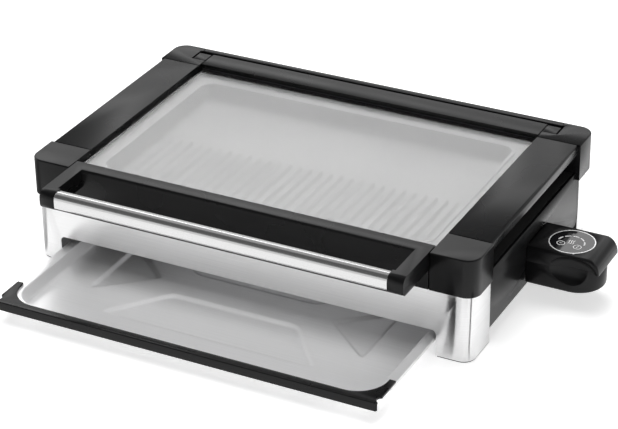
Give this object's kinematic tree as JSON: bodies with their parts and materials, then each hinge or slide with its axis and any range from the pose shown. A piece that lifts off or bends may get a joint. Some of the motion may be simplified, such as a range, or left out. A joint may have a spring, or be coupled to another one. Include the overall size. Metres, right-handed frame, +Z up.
{
  "type": "electric table grill",
  "caption": "Electric table grill with a hinged glass lid and steel handle, removable grill plate with handle rails, pull-out drip tray and plug-in touch control unit.",
  "frame": {"origin": "on the table, under the middle of the whole object's box with the tray drawn out", "axes": "+X to the right seen from the front, where the control unit is; +Y to the back; +Z up"},
  "size_m": [0.5784, 0.4454, 0.116],
  "materials": {
    "frame_plastic": "fine satin moulded black",
    "panel_plastic": "smooth satin black",
    "control_plastic": "satin black",
    "chassis_plastic": "matt black, heat resistant",
    "housing_steel": "brushed stainless, grain along the length",
    "handle_steel": "bright brushed stainless",
    "tray_steel": "dull stainless sheet",
    "plate_coating": "cast, silver-grey non-stick coat",
    "reflector_sheet": "bright aluminised sheet",
    "element_steel": "dark oxidised tube",
    "clip_steel": "plain spring steel",
    "lid_glass": "clear toughened pane",
    "disc_glass": "gloss black touch surface",
    "ring_metal": "pale satin ring",
    "seal_rubber": "grey-black silicone",
    "foot_rubber": "black",
    "terminal_ceramic": "off-white",
    "contact_metal": "nickel plated",
    "screw_steel": "zinc plated",
    "board": "green circuit board"
  },
  "bodies": {
    "base": {"chassis": "chassis_plastic", "corner_post_front_left": "frame_plastic", "corner_post_front_right": "frame_plastic", "corner_post_rear_left": "frame_plastic", "corner_post_rear_right": "frame_plastic", "rear_strip": "frame_plastic", "hinge_pins": "contact_metal", "housing_front": "housing_steel", "housing_rear": "housing_steel", "side_panel_left": "panel_plastic", "side_panel_right": "panel_plastic", "base_screws": "screw_steel", "foot_pads": "foot_rubber", "reflector_pan": "reflector_sheet", "heating_element": "element_steel", "element_clips": "clip_steel", "terminal_block": "terminal_ceramic", "terminal_pins": "contact_metal", "tray_runner_left": "chassis_plastic", "tray_runner_right": "chassis_plastic"},
    "plate": {"grill_plate": "plate_coating", "rail_left": "frame_plastic", "rail_right": "frame_plastic", "rail_screws": "screw_steel"},
    "lid": {"lid_front_frame": "frame_plastic", "lid_rear_rail": "frame_plastic", "lid_glass": "lid_glass", "lid_gaskets": "seal_rubber", "lid_handle": "handle_steel", "handle_rod": "screw_steel"},
    "tray": {"drip_tray": "tray_steel", "tray_bar": "frame_plastic"},
    "control": {"control_upper_shell": "control_plastic", "control_lower_shell": "control_plastic", "plug_collar": "control_plastic", "contact_sockets": "contact_metal", "temperature_probe": "contact_metal", "touch_disc": "disc_glass", "disc_ring": "ring_metal", "control_board": "board", "control_screws": "screw_steel", "cord_gland": "control_plastic"}
  },
  "joints": [
    {"name": "plate_lift", "type": "slide", "parent": "base", "child": "plate", "axis": [0, 0, 1], "range_m": [0, 0.06]},
    {"name": "lid_hinge", "type": "hinge", "parent": "plate", "child": "lid", "pos_m": [-0.03675, 0.2014, 0.10835], "axis": [-1, 0, 0], "range_deg": [0, 95]},
    {"name": "tray_slide", "type": "slide", "parent": "base", "child": "tray", "axis": [0, -1, 0], "range_m": [-0.136, 0.05]},
    {"name": "control_unplug", "type": "slide", "parent": "base", "child": "control", "axis": [1, 0, 0], "range_m": [0, 0.075]}
  ]
}
